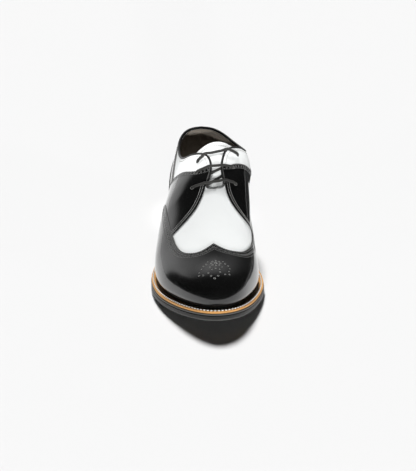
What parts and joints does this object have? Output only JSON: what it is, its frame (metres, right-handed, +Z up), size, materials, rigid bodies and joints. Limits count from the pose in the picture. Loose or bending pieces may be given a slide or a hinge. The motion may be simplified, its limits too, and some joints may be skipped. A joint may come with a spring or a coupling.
{
  "type": "wingtip dress shoe",
  "caption": "Two-tone laced dress shoe with a pointed toe overlay, open facings, stitched welt, leather sole and low stacked heel, hollow for a right foot.",
  "frame": {"origin": "on the floor, under the centre of the shoe's bounding box", "axes": "+Z up, +Y from toe to heel along the shoe, +X towards the medial (inner) side of the right foot"},
  "size_m": [0.1118, 0.3038, 0.1108],
  "materials": {
    "black_leather": "polished, glossy",
    "white_leather": "smooth, semi-gloss",
    "sole_black": "waxed edge, satin",
    "welt_tan": "natural, matte",
    "insole_brown": "matte",
    "lace_grey": "woven, matte"
  },
  "bodies": {
    "root": {"outsole": "sole_black", "heel": "sole_black", "welt": "welt_tan", "insole": "insole_brown", "upper": "white_leather", "wing_tip": "black_leather", "heel_counter": "black_leather", "quarter_lateral": "black_leather", "quarter_medial": "black_leather", "binding": "black_leather", "tongue": "white_leather", "lace": "lace_grey"}
  },
  "joints": []
}
